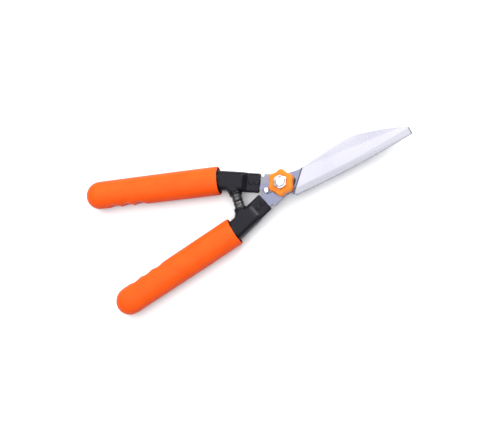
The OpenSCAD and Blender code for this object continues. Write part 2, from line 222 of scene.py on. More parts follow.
def cube(name, size, centre):
    clearSelection()
    bpy.ops.mesh.primitive_cube_add(size=1, location=centre, scale=size)
    return named(name)


def hexagonRadius(flats):
    return flats / 2 / math.cos(math.radians(30))


def flatten(piece, share):
    editAll(piece)
    bpy.ops.transform.resize(value=(1, 1, share), center_override=(0, 0, 0))
    endEdit()


def standUp(piece, along=0.0):
    # a piece turned along X is stood up along Z
    setDown(piece, Matrix.Translation((along, 0, 0)) @ Matrix.Rotation(-quarterTurn, 4, "Y"))


def mirrorPiece(piece, name):
    choose(piece)
    bpy.ops.object.duplicate()
    twin = bpy.context.object
    twin.scale.y = -1
    named(name)
    turnOutward(twin)
    shadeSmooth(twin)
    return twin


def swapSides(piece, name):
    # the mirror image takes the piece's place
    twin = mirrorPiece(piece, name)
    bpy.data.objects.remove(piece)
    return twin


def softCopy(node, name, width):
    # the CAD node's own shape, merged and with its edges broken
    choose(nodes[node])
    bpy.ops.object.duplicate()
    piece = bpy.context.object
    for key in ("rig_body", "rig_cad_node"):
        del piece[key]
    piece.parent = None
    named(name)
    turnOutward(piece)
    editAll(piece)
    bpy.ops.mesh.dissolve_limited(angle_limit=math.radians(0.1))
    endEdit()
    softenEdges(piece, width)
    shadeSmooth(piece)
    return piece


def finishPiece(piece, body, slot, material, *replaced):
    piece.data.materials.clear()
    piece.data.materials.append(material)
    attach(piece, body)
    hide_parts(*replaced)


# Materials

def addNode(material, kind, **values):
    node = material.node_tree.nodes.new(kind)
    for key, value in values.items():
        setattr(node, key, value)
    return node


def link(material, source, target):
    material.node_tree.links.new(source, target)


def startMaterial(name, metallic, roughness, specular=0.5):
    material = bpy.data.materials.new(name)
    material.use_nodes = True
    shader = material.node_tree.nodes["Principled BSDF"]
    shader.inputs["Metallic"].default_value = metallic
    shader.inputs["Roughness"].default_value = roughness
    shader.inputs["Specular IOR Level"].default_value = specular
    return material, shader


def noiseOver(material, scale, detail=3.0, turn=0.0):
    # noise on Object coordinates, with its scale in features per metre along each axis
    place = addNode(material, "ShaderNodeTexCoord")
    mapping = addNode(material, "ShaderNodeMapping")
    mapping.inputs["Scale"].default_value = scale
    mapping.inputs["Rotation"].default_value = (0, 0, turn)
    noise = addNode(material, "ShaderNodeTexNoise")
    noise.inputs["Scale"].default_value = 1
    noise.inputs["Detail"].default_value = detail
    link(material, place.outputs["Object"], mapping.inputs["Vector"])
    link(material, mapping.outputs["Vector"], noise.inputs["Vector"])
    return noise.outputs["Fac"]


def spread(material, source, low, high, fromLow=0.3, fromHigh=0.7):
    ranged = addNode(material, "ShaderNodeMapRange")
    for key, value in (("From Min", fromLow), ("From Max", fromHigh),
                       ("To Min", low), ("To Max", high)):
        ranged.inputs[key].default_value = value
    link(material, source, ranged.inputs["Value"])
    return ranged.outputs["Result"]


def mixColours(material, factor, first, second):
    mix = addNode(material, "ShaderNodeMix", data_type="RGBA")
    link(material, factor, mix.inputs["Factor"])
    for socket, colour in ((mix.inputs[6], first), (mix.inputs[7], second)):
        if isinstance(colour, tuple):
            socket.default_value = (*colour, 1)
        else:
            link(material, colour, socket)
    return mix.outputs[2]


def addBump(material, shader, source, strength, depth):
    bump = addNode(material, "ShaderNodeBump")
    bump.inputs["Strength"].default_value = strength
    bump.inputs["Distance"].default_value = depth
    link(material, source, bump.inputs["Height"])
    link(material, bump.outputs["Normal"], shader.inputs["Normal"])


def mouldedMaterial(name, look):
    # plastic, vinyl, rubber or paint: broad changes of shade over a fine grain
    material, shader = startMaterial(name, 0, look["roughness"][0], look["specular"])
    broad = noiseOver(material, (look["broad"],) * 3)
    grain = noiseOver(material, (look["grain"],) * 3, detail=4)
    colour = mixColours(material, spread(material, broad, 0, 1), look["colour"], look["shade"])
    link(material, colour, shader.inputs["Base Color"])
    link(material, spread(material, grain, *look["roughness"]), shader.inputs["Roughness"])
    addBump(material, shader, grain, look["bump"], look["depth"])
    return material


def paintShadeLow(material, look):
    # painted shade: a darker colour low down on the sides, standing in for the shade that falls
    # there
    shader = material.node_tree.nodes["Principled BSDF"]
    place = addNode(material, "ShaderNodeTexCoord")
    split = addNode(material, "ShaderNodeSeparateXYZ")
    link(material, place.outputs["Object"], split.inputs[0])
    low, high = look["paintedShadeLevels"]
    colour = shader.inputs["Base Color"].links[0].from_socket
    # the painted shade fades out between the two levels and is darkest below the lower one
    foot = spread(material, split.outputs["Z"], 0, 1, low, high)
    colour = mixColours(material, foot, look["paintedShadeColour"], colour)
    link(material, colour, shader.inputs["Base Color"])


def brushedMaterial(name, look):
    # metal with fine parallel scratches across the direction that turn gives
    material, shader = startMaterial(name, 1, look["roughness"][0])
    lines = noiseOver(material, look["lines"], detail=5, turn=look.get("turn", 0))
    cloud = noiseOver(material, (look["broad"],) * 3)
    colour = mixColours(material, spread(material, cloud, 0, 1), look["colour"], look["shade"])
    link(material, colour, shader.inputs["Base Color"])
    link(material, spread(material, lines, *look["roughness"]), shader.inputs["Roughness"])
    addBump(material, shader, lines, look["bump"], look["depth"])
    return material, shader, colour


def doMath(material, operation, *values):
    step = addNode(material, "ShaderNodeMath", operation=operation)
    for socket, value in zip(step.inputs, values):
        if isinstance(value, (int, float)):
            socket.default_value = value
        else:
            link(material, value, socket)
    return step.outputs[0]


def placeAlong(material, angle):
    # how far a point lies along a flat direction, in Object coordinates
    place = addNode(material, "ShaderNodeTexCoord")
    along = addNode(material, "ShaderNodeVectorMath", operation="DOT_PRODUCT")
    along.inputs[1].default_value = (math.cos(angle), math.sin(angle), 0)
    link(material, place.outputs["Object"], along.inputs[0])
    return along.outputs["Value"]


def groundBladeMaterial(name, look, side):
    # bright where it is ground, darker at the heel and tip, with painted shade on the bevel,
    # along the grind line and at the cutting edge; side is 1 or -1
    material, shader, bright = brushedMaterial(name, look)
    # the cutting edge is bowed, so the distance to it is measured to a parabola
    tilt = side * math.radians(look["tilt"])
    along = placeAlong(material, tilt)
    out = placeAlong(material, tilt - side * quarterTurn)
    span = look["length"] - look["edgeStart"]
    passed = doMath(material, "SUBTRACT", along, look["edgeStart"])
    share = doMath(material, "DIVIDE", passed, span)
    rise = doMath(material, "MULTIPLY", share, doMath(material, "SUBTRACT", 1, share))
    edge = doMath(material, "MULTIPLY_ADD", rise, 4 * look["belly"], look["edge"])
    inset = doMath(material, "SUBTRACT", edge, out)
    line, fade = look["grindLine"], look["grindFade"]
    # painted shade on the bevel band along the cutting edge
    bevel = spread(material, inset, 1, 0, look["bevelWidth"] - fade, look["bevelWidth"])
    bright = mixColours(material, bevel, bright, look["bevelShadeColour"])
    across = placeAlong(material, -side * math.radians(look["grindAngle"]))
    ground = spread(material, across, 0, 1, line - fade, line + fade)
    colour = mixColours(material, ground, look["heelColour"], bright)
    # painted shade: a dark line along the grind line, where the heel steps down to the ground
    # face
    distance = doMath(material, "ABSOLUTE", doMath(material, "SUBTRACT", across, line))
    stepShadeMask = spread(material, distance, 1, 0, 0, look["lineWidth"])
    colour = mixColours(material, stepShadeMask, colour, look["stepShadeColour"])
    # painted shade: a thin dark line along the cutting edge
    edgeShadeMask = spread(material, inset, 1, 0, look["edgeWidth"] * 0.7, look["edgeWidth"])
    colour = mixColours(material, edgeShadeMask, colour, look["edgeShadeColour"])
    tip = spread(material, along, 0, 1, look["tipStart"], look["tipStart"] + fade)
    colour = mixColours(material, tip, colour, look["tipColour"])
    link(material, colour, shader.inputs["Base Color"])
    return material


# each look's darker colour low down is painted shade on the sides of the grips and the knob
gripLook = {"colour": (0.78, 0.086, 0.003), "shade": (0.72, 0.072, 0.002),
            "roughness": (0.42, 0.5), "specular": 0.14,
            "broad": 45, "grain": 900, "bump": 0.12, "depth": 0.3 * mm,
            "paintedShadeColour": (0.36, 0.014, 0.001), "paintedShadeLevels": (1 * mm, 18 * mm)}
knobLook = {"colour": (0.70, 0.185, 0.012), "shade": (0.58, 0.14, 0.008),
            "roughness": (0.34, 0.44), "specular": 0.16,
            "broad": 120, "grain": 1400, "bump": 0.08, "depth": 0.2 * mm,
            "paintedShadeColour": (0.16, 0.045, 0.010), "paintedShadeLevels": (15.5 * mm, 22 * mm)}
handleLook = {"colour": (0.0065, 0.0055, 0.010), "shade": (0.0045, 0.004, 0.007),
              "roughness": (0.3, 0.42), "specular": 0.15,
              "broad": 60, "grain": 1500, "bump": 0.18, "depth": 0.2 * mm}
cupLook = dict(handleLook, colour=(0.008, 0.0075, 0.010), roughness=(0.24, 0.34))
rivetLook = dict(cupLook, roughness=(0.32, 0.44))
rubberLook = {"colour": (0.006, 0.0055, 0.0065), "shade": (0.004, 0.0035, 0.0045),
              "roughness": (0.2, 0.32), "specular": 0.9,
              "broad": 200, "grain": 1800, "bump": 0.15, "depth": 0.2 * mm}
collarLook = {"colour": (0.010, 0.007, 0.008), "shade": (0.006, 0.004, 0.005),
              "roughness": (0.45, 0.6), "specular": 0.25,
              "broad": 150, "grain": 1600, "bump": 0.12, "depth": 0.2 * mm}
plugLook = dict(collarLook, colour=(0.02, 0.02, 0.02))
# the bevel's, the grind line's and the cutting edge's darker colours are painted shade
bladeLook = {"colour": (0.365, 0.36, 0.40), "shade": (0.335, 0.33, 0.385),
             "roughness": (0.2, 0.3), "broad": 25, "lines": (2600, 60, 2600),
             "turn": math.radians(-8), "bump": 0.04, "depth": 0.04 * mm,
             "heelColour": (0.155, 0.16, 0.225), "stepShadeColour": (0.03, 0.03, 0.04),
             "grindAngle": 36, "grindLine": 18 * mm, "grindFade": 0.15 * mm,
             "lineWidth": 1.3 * mm,
             "bevelShadeColour": (0.31, 0.31, 0.345), "bevelWidth": 9 * mm,
             "edgeShadeColour": (0.17, 0.17, 0.2), "edgeWidth": 0.8 * mm,
             "tipColour": (0.16, 0.16, 0.17), "tipStart": 181.8 * mm, "length": 184 * mm,
             "tilt": 8, "edge": 21.5 * mm, "belly": 2.5 * mm, "edgeStart": 14 * mm}
rearBladeLook = dict(bladeLook, turn=0.0, tilt=0, edge=12.5 * mm, belly=1 * mm)
washerLook = {"colour": (0.155, 0.16, 0.215), "shade": (0.125, 0.13, 0.175),
              "roughness": (0.28, 0.42), "broad": 150, "lines": (90, 2400, 2400),
              "bump": 0.05, "depth": 0.05 * mm}
boltLook = {"colour": (0.30, 0.30, 0.33), "shade": (0.24, 0.24, 0.27),
            "roughness": (0.25, 0.4), "broad": 200, "lines": (700, 700, 700),
            "bump": 0.05, "depth": 0.1 * mm}
springLook = dict(boltLook, colour=(0.2, 0.2, 0.22), shade=(0.15, 0.15, 0.17))
screwLook = dict(boltLook, colour=(0.80, 0.80, 0.85), shade=(0.70, 0.70, 0.76),
                 roughness=(0.16, 0.28))
chromeLook = dict(boltLook, colour=(0.97, 0.97, 0.99), shade=(0.93, 0.93, 0.96),
                  roughness=(0.1, 0.18))

gripVinyl = mouldedMaterial("grip vinyl", gripLook)
# painted shade low on the grips' sides
paintShadeLow(gripVinyl, gripLook)
knobPlastic = mouldedMaterial("knob plastic", knobLook)
# painted shade low on the knob's side
paintShadeLow(knobPlastic, knobLook)
handlePaint = mouldedMaterial("handle paint", handleLook)
cupPaint = mouldedMaterial("cup paint", cupLook)
rivetPaint = mouldedMaterial("rivet paint", rivetLook)
bumperRubber = mouldedMaterial("bumper rubber", rubberLook)
collarPlastic = mouldedMaterial("collar plastic", collarLook)
plugPlastic = mouldedMaterial("plug plastic", plugLook)
frontSteel = groundBladeMaterial("front blade steel", bladeLook, 1)
rearSteel = groundBladeMaterial("rear blade steel", rearBladeLook, -1)
washerSteel = brushedMaterial("washer steel", washerLook)[0]
boltSteel = brushedMaterial("bolt steel", boltLook)[0]
springSteel = brushedMaterial("spring steel", springLook)[0]
screwSteel = brushedMaterial("screw steel", screwLook)[0]
nutChrome = brushedMaterial("nut chrome", chromeLook)[0]
print("stage: materials")


# The levels and places that the pieces share

levels = {"middle": 7.55 * mm, "rearTang": 5.75 * mm, "frontTang": 9.35 * mm}
arm = {"angle": 24, "width": 27 * mm, "upperStart": 33.5 * mm, "lowerStart": 33.5 * mm,
       "flatEnd": 50 * mm, "fullStart": 57 * mm, "flatHeight": 7.7 * mm,
       "fullHeight": 19 * mm, "corner": 7 * mm, "rim": 1.6 * mm, "overrun": 18 * mm,
       "pastMouth": 0.5 * mm,
       "slotWidth": 19 * mm, "slotEnd": 49 * mm, "slotHeight": 3.5 * mm,
       "meshSize": 0.75 * mm, "smoothShare": 0.5, "smoothPasses": 4, "smoothAngle": 60}
grip = {"mouth": 91.5 * mm, "angle": 13.6, "length": 195 * mm, "width": 40 * mm,
        "height": 33 * mm, "buttWidth": 39 * mm, "buttHeight": 32 * mm,
        "straight": 62 * mm, "openWidth": 35.6 * mm, "openHeight": 28.6 * mm,
        "openDepth": 9.2 * mm, "lip": 1.2 * mm, "grooveFirst": 41 * mm,
        "groovePitch": 19 * mm, "grooves": 3, "grooveDepth": 3.3 * mm,
        "grooveRadius": 13.5 * mm, "grooveLead": 3 * mm, "corners": 56,
        "smoothRings": 16, "grooveRings": 46, "endRings": 4,
        "buttAngles": (12, 24, 36, 48, 60, 70, 79, 86), "smoothAngle": 50}
tube = {"diameter": 23 * mm, "bore": 19.8 * mm, "length": 166 * mm, "endGap": 2 * mm,
        "boreLip": 0.4 * mm}
bumper = {"along": -67 * mm, "cupBottom": 13 * mm, "cupTop": 11.5 * mm, "cupLip": 9.5 * mm,
          "cupWidth": 18 * mm, "cupGap": 0.1 * mm, "width": 14.5 * mm, "face": 0.1 * mm,
          "screwHole": 5.1 * mm, "headHole": 8.6 * mm, "headDepth": 4.5 * mm,
          "holeEnd": 19.2 * mm, "holeCorners": 24}
# each step of the boss is its distance from the cup and what it adds to the cup's width
boss = {"steps": ((0, -0.6 * mm), (0.4 * mm, 0), (2.5 * mm, 0.6 * mm), (5 * mm, 3 * mm)),
        "root": 24 * mm, "flare": 27 * mm, "flatness": 0.98, "limitStart": 5 * mm,
        "limitEnd": 40 * mm, "limitWidth": 60 * mm, "limitFlatness": 0.3}

armPlace = Matrix.Rotation(math.radians(180 - arm["angle"]), 4, "Z")
mouthCentre = armPlace @ Vector((grip["mouth"], 0, 0)) + Vector((0, 0, levels["middle"]))
gripPlace = (Matrix.Translation(mouthCentre)
             @ Matrix.Rotation(math.radians(180 - grip["angle"]), 4, "Z"))
gripAxis = (gripPlace.to_3x3() @ Vector((1, 0, 0))).normalized()
bumperPlace = (Matrix.Translation(Vector((bumper["along"], 0, levels["middle"])))
               @ Matrix.Rotation(quarterTurn, 4, "Z"))


# Grips

def gripSteps():
    # the mouth's rolled lip, the body, and the round end
    width, height, lip = grip["width"], grip["height"], grip["lip"]
    openWidth, openHeight = grip["openWidth"], grip["openHeight"]
    buttRound = grip["buttWidth"] / 2
    buttCentre = grip["length"] - buttRound
    lipEnd = lip * 1.1
    mouth = [(grip["openDepth"], openWidth, openHeight, 0),
             (lip * 0.7, openWidth, openHeight, 0),
             (lip * 0.2, openWidth + lip * 0.6, openHeight + lip * 0.6, 0),
             (0, openWidth + lip * 1.6, openHeight + lip * 1.6, 0),
             (0, width - lip * 1.4, height - lip * 1.4, 0),
             (lip * 0.3, width - lip * 0.4, height - lip * 0.4, 0),
             (lipEnd, width, height, 0)]
    grooved = grip["length"] - grip["grooveFirst"] + grip["groovePitch"] * 0.6
    smooth = grooved - grip["grooves"] * grip["groovePitch"] - grip["grooveLead"]
    places = []
    for start, end, rings in ((lipEnd, smooth, grip["smoothRings"]),
                              (smooth, grooved, grip["grooveRings"]),
                              (grooved, buttCentre, grip["endRings"])):
        places += [start + (end - start) * ring / rings for ring in range(1, rings + 1)]
    body = []
    for along in places:
        taper = max(0, (along - grip["straight"]) / (buttCentre - grip["straight"]))
        body.append((along, width + (grip["buttWidth"] - width) * taper,
                     height + (grip["buttHeight"] - height) * taper, 0))
    butt = []
    for angle in grip["buttAngles"]:
        ring = math.cos(math.radians(angle))
        butt.append((buttCentre + buttRound * math.sin(math.radians(angle)),
                     grip["buttWidth"] * ring, grip["buttHeight"] * ring, 0))
    return mouth, body, butt


def makeGrip(name):
    mouth, body, butt = gripSteps()
    piece = startSection(name, grip["corners"], *mouth[0])
    growSection(mouth + body + butt)
    # scallops for the fingers, on the inner side
    radius, near = grip["grooveRadius"], 0.02 * mm
    for number in range(grip["grooves"]):
        centre = grip["length"] - grip["grooveFirst"] - number * grip["groovePitch"]
        for along, width in [step[:2] for step in body]:
            away = min(abs(along - centre), radius)
            depth = grip["grooveDepth"] - radius + math.sqrt(radius ** 2 - away ** 2)
            if depth > 0:
                limit = width / 2 - depth
                pick(piece, "VERT", lambda v: abs(v.co.x - along) < near and v.co.y > limit)
                bpy.ops.transform.resize(value=(1, 0, 1), center_override=(along, limit, 0))
    endEdit()
    turnOutward(piece, 1e-7)
    useModifier(piece, "SUBSURF", levels=1, render_levels=1)
    setDown(piece, gripPlace)
    boreLength = overcut + tube["length"] + tube["endGap"]
    hole = roundBar("gripHole", -overcut, boreLength, tube["diameter"], gripPlace)
    combine(piece, hole, "DIFFERENCE")
    shadeSmooth(piece, grip["smoothAngle"])
    return piece


upperGrip = makeGrip("upper_grip_sleeve")
lowerGrip = mirrorPiece(upperGrip, "lower_grip_sleeve")
shadeSmooth(lowerGrip, grip["smoothAngle"])
finishPiece(upperGrip, "upper_side", "grip_vinyl", gripVinyl, "upper_grip")
finishPiece(lowerGrip, "lower_side", "grip_vinyl", gripVinyl, "lower_grip")
print("stage: grips")


# Collars, just inside the grips' mouths

def makeCollar(name):
    openWidth, openHeight, lip = grip["openWidth"], grip["openHeight"], grip["lip"]
    gap = 0.1 * mm
    steps = [(grip["openDepth"] - gap, openWidth - gap, openHeight - gap, 0),
             (lip * 1.5, openWidth - gap, openHeight - gap, 0),
             (lip, openWidth - lip * 0.6, openHeight - lip * 0.6, 0),
             (lip, openWidth - lip * 3, openHeight - lip * 3, 0),
             (lip * 1.5, openWidth - lip * 3.8, openHeight - lip * 3.8, 0)]
    piece = startSection(name, grip["corners"], *steps[0])
    growSection(steps)
    endEdit()
    turnOutward(piece)
    setDown(piece, gripPlace)
    hole = roundBar("collarHole", -overcut, 30 * mm, tube["diameter"] + gap, gripPlace)
    combine(piece, hole, "DIFFERENCE")
    shadeSmooth(piece)
    return piece


upperCollar = makeCollar("upper_mouth_ring")
lowerCollar = mirrorPiece(upperCollar, "lower_mouth_ring")
finishPiece(upperCollar, "upper_side", "collar_plastic", collarPlastic, "upper_collar")
finishPiece(lowerCollar, "lower_side", "collar_plastic", collarPlastic, "lower_collar")
print("stage: collars")


# Handles: a tube flattened round the tang, with a boss for the bumper's cup

def makeArm(name, start, tangLevel):
    width, rim, middle = arm["width"], arm["rim"], levels["middle"]
    full, flat = arm["fullHeight"], arm["flatHeight"]
    flatEnd, fullStart = arm["flatEnd"], arm["fullStart"]
    slope = fullStart - flatEnd
    clearSelection()
    bpy.ops.mesh.primitive_plane_add(size=1, location=(start, 0, tangLevel),
                                     rotation=(0, quarterTurn, 0))
    piece = named(name)
    editAll(piece)
    bpy.ops.transform.resize(value=(1, width, full), center_override=(start, 0, tangLevel))
    bpy.ops.mesh.bevel(offset=arm["corner"], segments=8, affect="VERTICES")
    bpy.ops.mesh.select_mode(type="FACE")
    bpy.ops.mesh.select_all(action="SELECT")
    bpy.ops.transform.resize(value=(1, (width - rim) / width, (flat - rim) / full),
                             center_override=(start, 0, tangLevel))
    # the rounded rim, the flat socket, the slope and the full section
    growSection([(start, width - rim, flat - rim, tangLevel),
                 (start + rim * 0.25, width - rim * 0.4, flat - rim * 0.4, tangLevel),
                 (start + rim * 0.8, width, flat, tangLevel),
                 (flatEnd - slope * 0.1, width, flat, tangLevel),
                 (flatEnd + slope * 0.15, width, flat * 1.1, tangLevel),
                 (flatEnd + slope * 0.55, width, (flat + full) / 2, (tangLevel + middle) / 2),
                 (fullStart - slope * 0.05, width, full * 0.92, middle),
                 (fullStart + slope * 0.3, width, full * 0.985, middle),
                 (fullStart + slope * 0.6, width, full, middle),
                 (grip["mouth"] + arm["overrun"], width, full, middle)])
    endEdit()
    turnOutward(piece)
    setDown(piece, armPlace)
    # cut square to the grip, just inside its mouth
    editAll(piece)
    bpy.ops.mesh.bisect(plane_co=mouthCentre + gripAxis * arm["pastMouth"],
                        plane_no=gripAxis, use_fill=True, clear_outer=True)
    endEdit()
    turnOutward(piece)
    return piece


def makeBoss():
    # the limit keeps the boss within the arm's height
    profile = [(bumper["cupBottom"] + along, bumper["cupWidth"] + extra)
               for along, extra in boss["steps"]]
    piece = turnedPiece("boss", profile + [(boss["root"], boss["flare"])])
    flatten(piece, boss["flatness"])
    setDown(piece, bumperPlace)
    limit = turnedPiece("bossLimit", [(boss["limitStart"], boss["limitWidth"]),
                                      (boss["limitEnd"], boss["limitWidth"])], 32)
    flatten(limit, boss["limitFlatness"])
    setDown(limit, bumperPlace)
    combine(piece, limit, "INTERSECT")
    return piece


def drillForScrew(piece, start, length):
    hole = roundBar("screwHole", start, length, bumper["screwHole"], bumperPlace,
                    bumper["holeCorners"])
    combine(piece, hole, "DIFFERENCE")


def makeHandle(name, start, tangLevel):
    piece = makeArm(name, start, tangLevel)
    combine(piece, makeBoss(), "UNION")
    pipe = roundBar("tube", 0, tube["length"], tube["diameter"], gripPlace)
    combine(piece, pipe, "UNION")
    bore = roundBar("bore", -tube["boreLip"], tube["length"] + overcut, tube["bore"], gripPlace)
    combine(piece, bore, "DIFFERENCE")
    drillForScrew(piece, 0, bumper["holeEnd"])
    slotStart, slotEnd = start - overcut, arm["slotEnd"]
    slot = cube("slot", (slotEnd - slotStart, arm["slotWidth"], arm["slotHeight"]),
                ((slotEnd + slotStart) / 2, 0, tangLevel))
    setDown(slot, armPlace)
    combine(piece, slot, "DIFFERENCE")
    useModifier(piece, "REMESH", mode="VOXEL", voxel_size=arm["meshSize"])
    useModifier(piece, "SMOOTH", factor=arm["smoothShare"], iterations=arm["smoothPasses"])
    shadeSmooth(piece, arm["smoothAngle"])
    return piece


upperHandle = makeHandle("upper_handle_tube", arm["upperStart"], levels["rearTang"])
lowerHandle = swapSides(makeHandle("mirrored", arm["lowerStart"], levels["frontTang"]),
                        "lower_handle_tube")
shadeSmooth(lowerHandle, arm["smoothAngle"])
finishPiece(upperHandle, "upper_side", "handle_paint", handlePaint, "upper_handle")
finishPiece(lowerHandle, "lower_side", "handle_paint", handlePaint, "lower_handle")
print("stage: handles")


# Bumpers and their cups

def makeBumper(name):
    # the neck inside the cup, a groove, the rounded face and the screw head's recess
    width, face, top = bumper["width"], bumper["face"], bumper["cupTop"]
    headEnd = face + bumper["headDepth"]
    piece = turnedPiece(name, [(top, width), (top - 4.6 * mm, width),
                               (top - 5.2 * mm, width - 1.2 * mm),
                               (top - 6.2 * mm, width - 1.4 * mm),
                               (top - 6.9 * mm, width - 0.2 * mm),
                               (face + 2.2 * mm, width), (face + 0.8 * mm, width - 0.8 * mm),
                               (face + 0.1 * mm, width - 2.4 * mm), (face, width - 3.6 * mm),
                               (face, bumper["headHole"]), (headEnd, bumper["headHole"]),
                               (headEnd, bumper["screwHole"])])
    setDown(piece, bumperPlace)
    drillForScrew(piece, -2 * mm, 20 * mm)
    shadeSmooth(piece)
    return piece


def makeCup(name):
    width, bottom, lip = bumper["cupWidth"], bumper["cupBottom"], bumper["cupLip"]
    inner = bumper["width"] + bumper["cupGap"]
    piece = turnedPiece(name, [(bottom, width - 0.4 * mm), (bottom - 0.4 * mm, width),
                               (lip + 0.6 * mm, width), (lip + 0.15 * mm, width - 0.5 * mm),
                               (lip, width - 1.3 * mm), (lip, inner + 1.0 * mm),
                               (lip + 0.3 * mm, inner), (bumper["cupTop"], inner)])
    setDown(piece, bumperPlace)
    drillForScrew(piece, 0, 20 * mm)
    shadeSmooth(piece)
    return piece


upperBumper = makeBumper("upper_bumper_rubber")
lowerBumper = mirrorPiece(upperBumper, "lower_bumper_rubber")
upperCup = makeCup("upper_bumper_seat")
lowerCup = mirrorPiece(upperCup, "lower_bumper_seat")
finishPiece(upperBumper, "upper_side", "bumper_rubber", bumperRubber, "upper_bumper")
finishPiece(lowerBumper, "lower_side", "bumper_rubber", bumperRubber, "lower_bumper")
finishPiece(upperCup, "upper_side", "cup_paint", cupPaint, "upper_bumper_cup")
finishPiece(lowerCup, "lower_side", "cup_paint", cupPaint, "lower_bumper_cup")
print("stage: bumpers")


# Tension knob

knob = {"bottom": 14 * mm, "height": 14 * mm, "width": 36 * mm, "body": 31.2 * mm,
        "lobe": 6.5 * mm, "lobes": 6, "corners": 120, "turn": 10, "bore": 10.5 * mm,
        "pocket": 6 * mm, "flats": 17.3 * mm, "topRound": 2.2 * mm, "footRound": 0.8 * mm,
        "edgeRound": 0.4 * mm}


def knobReach(offset):
    # distance from the axis to the section at an angle from the nearest lobe's middle
    centre = knob["width"] / 2 - knob["lobe"]
    side = centre * math.sin(offset)
    if side > knob["lobe"]:
        return knob["body"] / 2
    reach = centre * math.cos(offset) + math.sqrt(knob["lobe"] ** 2 - side ** 2)
    return max(knob["body"] / 2, reach)


def makeKnob(name):
    corners, bottom = knob["corners"], knob["bottom"]
    top = bottom + knob["height"]
    near, nearAngle = 0.1 * mm, 0.005
    lobeTurn = 2 * math.pi / knob["lobes"]
    clearSelection()
    bpy.ops.mesh.primitive_circle_add(vertices=corners, radius=knob["width"] / 2,
                                      fill_type="NGON", location=(0, 0, bottom))
    piece = named(name)
    startEdit(piece)
    half = corners // knob["lobes"] // 2
    for step in range(1, half + 1):
        offset = step * 2 * math.pi / corners

        def onStep(v):
            angle = math.atan2(v.co.y, v.co.x) % lobeTurn
            return abs(min(angle, lobeTurn - angle) - offset) < nearAngle
        pick(piece, "VERT", onStep)
        share = knobReach(offset) / (knob["width"] / 2)
        bpy.ops.transform.resize(value=(share, share, 1), center_override=(0, 0, bottom))
    bpy.ops.mesh.select_mode(type="FACE")
    bpy.ops.mesh.select_all(action="SELECT")
    bpy.ops.mesh.extrude_region_move(TRANSFORM_OT_translate={"value": (0, 0, knob["height"])})
    pick(piece, "EDGE", lambda e: all(v.co.z > top - near for v in e.verts))
    bpy.ops.mesh.bevel(offset=knob["topRound"], segments=5, affect="EDGES")
    pick(piece, "EDGE", lambda e: all(v.co.z < bottom + near for v in e.verts))
    bpy.ops.mesh.bevel(offset=knob["footRound"], segments=2, affect="EDGES")
    endEdit()
    turnOutward(piece)
    setDown(piece, Matrix.Rotation(math.radians(knob["turn"]), 4, "Z"))
    pocket = uprightBar("pocket", 6, hexagonRadius(knob["flats"]), top - knob["pocket"],
                        top + knob["pocket"], math.radians(knob["turn"] + 30))
    combine(piece, pocket, "DIFFERENCE")
    bore = uprightBar("bore", 48, knob["bore"] / 2, bottom - overcut, top + overcut)
    combine(piece, bore, "DIFFERENCE")
    softenEdges(piece, knob["edgeRound"], 60)
    shadeSmooth(piece, 40)
    return piece


tensionKnob = makeKnob("tension_knob_moulding")
finishPiece(tensionKnob, "knob", "knob_plastic", knobPlastic, "tension_knob")
print("stage: knob")


# Cap nut

nut = {"bottom": 22 * mm, "height": 9 * mm, "flats": 17 * mm, "dome": 4 * mm,
       "domeInset": 1 * mm, "turn": 10, "bore": 10.1 * mm, "top": 32.2 * mm,
       "edgeRound": 0.25 * mm}
# the cone that takes the hexagon's corners off, from its flats outward
nutCone = {"depth": 12 * mm, "spread": 21 * mm, "inset": 0.3 * mm}


def makeNut(name):
    bottom, radius = nut["bottom"], nut["flats"] / 2
    hexTop = bottom + nut["height"]
    piece = uprightBar(name, 6, hexagonRadius(nut["flats"]), bottom, hexTop,
                       math.radians(nut["turn"] + 30))
    clearSelection()
    bpy.ops.mesh.primitive_cone_add(vertices=96, radius1=radius + nutCone["spread"],
                                    radius2=radius - nutCone["inset"], depth=nutCone["depth"],
                                    location=(0, 0, hexTop - nutCone["depth"] / 2))
    combine(piece, named("cornerCone"), "INTERSECT")
    domeFoot = nut["flats"] - nut["domeInset"]
    clearSelection()
    bpy.ops.mesh.primitive_uv_sphere_add(segments=64, ring_count=32, radius=0.5,
                                         location=(0, 0, hexTop),
                                         scale=(domeFoot, domeFoot, 2 * nut["dome"]))
    combine(piece, named("dome"), "UNION")
    bore = uprightBar("bore", 48, nut["bore"] / 2, bottom - 2 * mm, nut["top"])
    combine(piece, bore, "DIFFERENCE")
    softenEdges(piece, nut["edgeRound"], 40)
    shadeSmooth(piece, 30)
    return piece


capNut = makeNut("cap_nut_chromed")
finishPiece(capNut, "knob", "nut_chrome", nutChrome, "cap_nut")
print("stage: nut")


# Lock screw and pivot bolt

screw = {"along": -24 * mm, "foot": 7.6 * mm, "head": 12.3 * mm, "headHeight": 2.2 * mm,
         "headWidth": 7.5 * mm, "shank": 4 * mm, "slotWidth": 1 * mm, "slotDepth": 1 * mm,
         "slotTurn": -35, "smoothAngle": 35}
# the bolt's profile is a level and a diameter at each step, from the head's crown up
bolt = {"profile": ((0, 13 * mm), (0.35 * mm, 18.4 * mm), (0.9 * mm, 20.8 * mm),
                    (1.7 * mm, 22 * mm), (3.7 * mm, 22 * mm), (4 * mm, 21.4 * mm),
                    (4 * mm, 10 * mm), (31.8 * mm, 10 * mm), (32.2 * mm, 9.2 * mm)),
        "headHeight": 4 * mm, "neck": 9.5 * mm, "neckHeight": 3.2 * mm}


